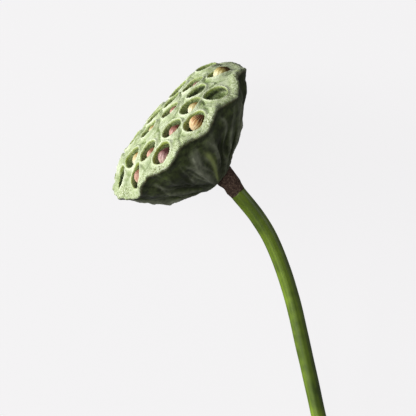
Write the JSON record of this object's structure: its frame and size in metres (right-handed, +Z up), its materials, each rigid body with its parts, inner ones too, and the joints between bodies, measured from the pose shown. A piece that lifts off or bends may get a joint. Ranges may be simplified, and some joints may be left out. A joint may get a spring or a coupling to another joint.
{
  "type": "lotus seed pod",
  "caption": "Lotus seed pod lying on its side: a domed face of open chambers with loose nuts in them, a wavy rim, a ribbed back, a rough collar and a curved cut stalk.",
  "frame": {"origin": "middle of the flat spot under the rim, on the surface that the pod lies on", "axes": "+X is the level part of the pod's axis, out of the seed face; +Z is up; +Y is the side that the stalk's cut end lies to"},
  "size_m": [0.2268, 0.1451, 0.0928],
  "materials": {
    "pod": "matt pale green skin, darker and ribbed on the back",
    "collar": "rough dark brown",
    "stalk": "smooth satin green",
    "seed": "satin pink brown"
  },
  "bodies": {
    "root": {"receptacle": "pod", "collar": "collar", "stem": "stalk", "seed_01": "seed", "seed_02": "seed", "seed_03": "seed", "seed_04": "seed", "seed_05": "seed", "seed_06": "seed", "seed_07": "seed", "seed_08": "seed", "seed_09": "seed", "seed_10": "seed", "seed_11": "seed", "seed_12": "seed", "seed_13": "seed", "seed_14": "seed", "seed_15": "seed", "seed_16": "seed", "seed_17": "seed", "seed_18": "seed", "seed_19": "seed", "seed_20": "seed", "seed_21": "seed", "seed_22": "seed"}
  },
  "joints": []
}
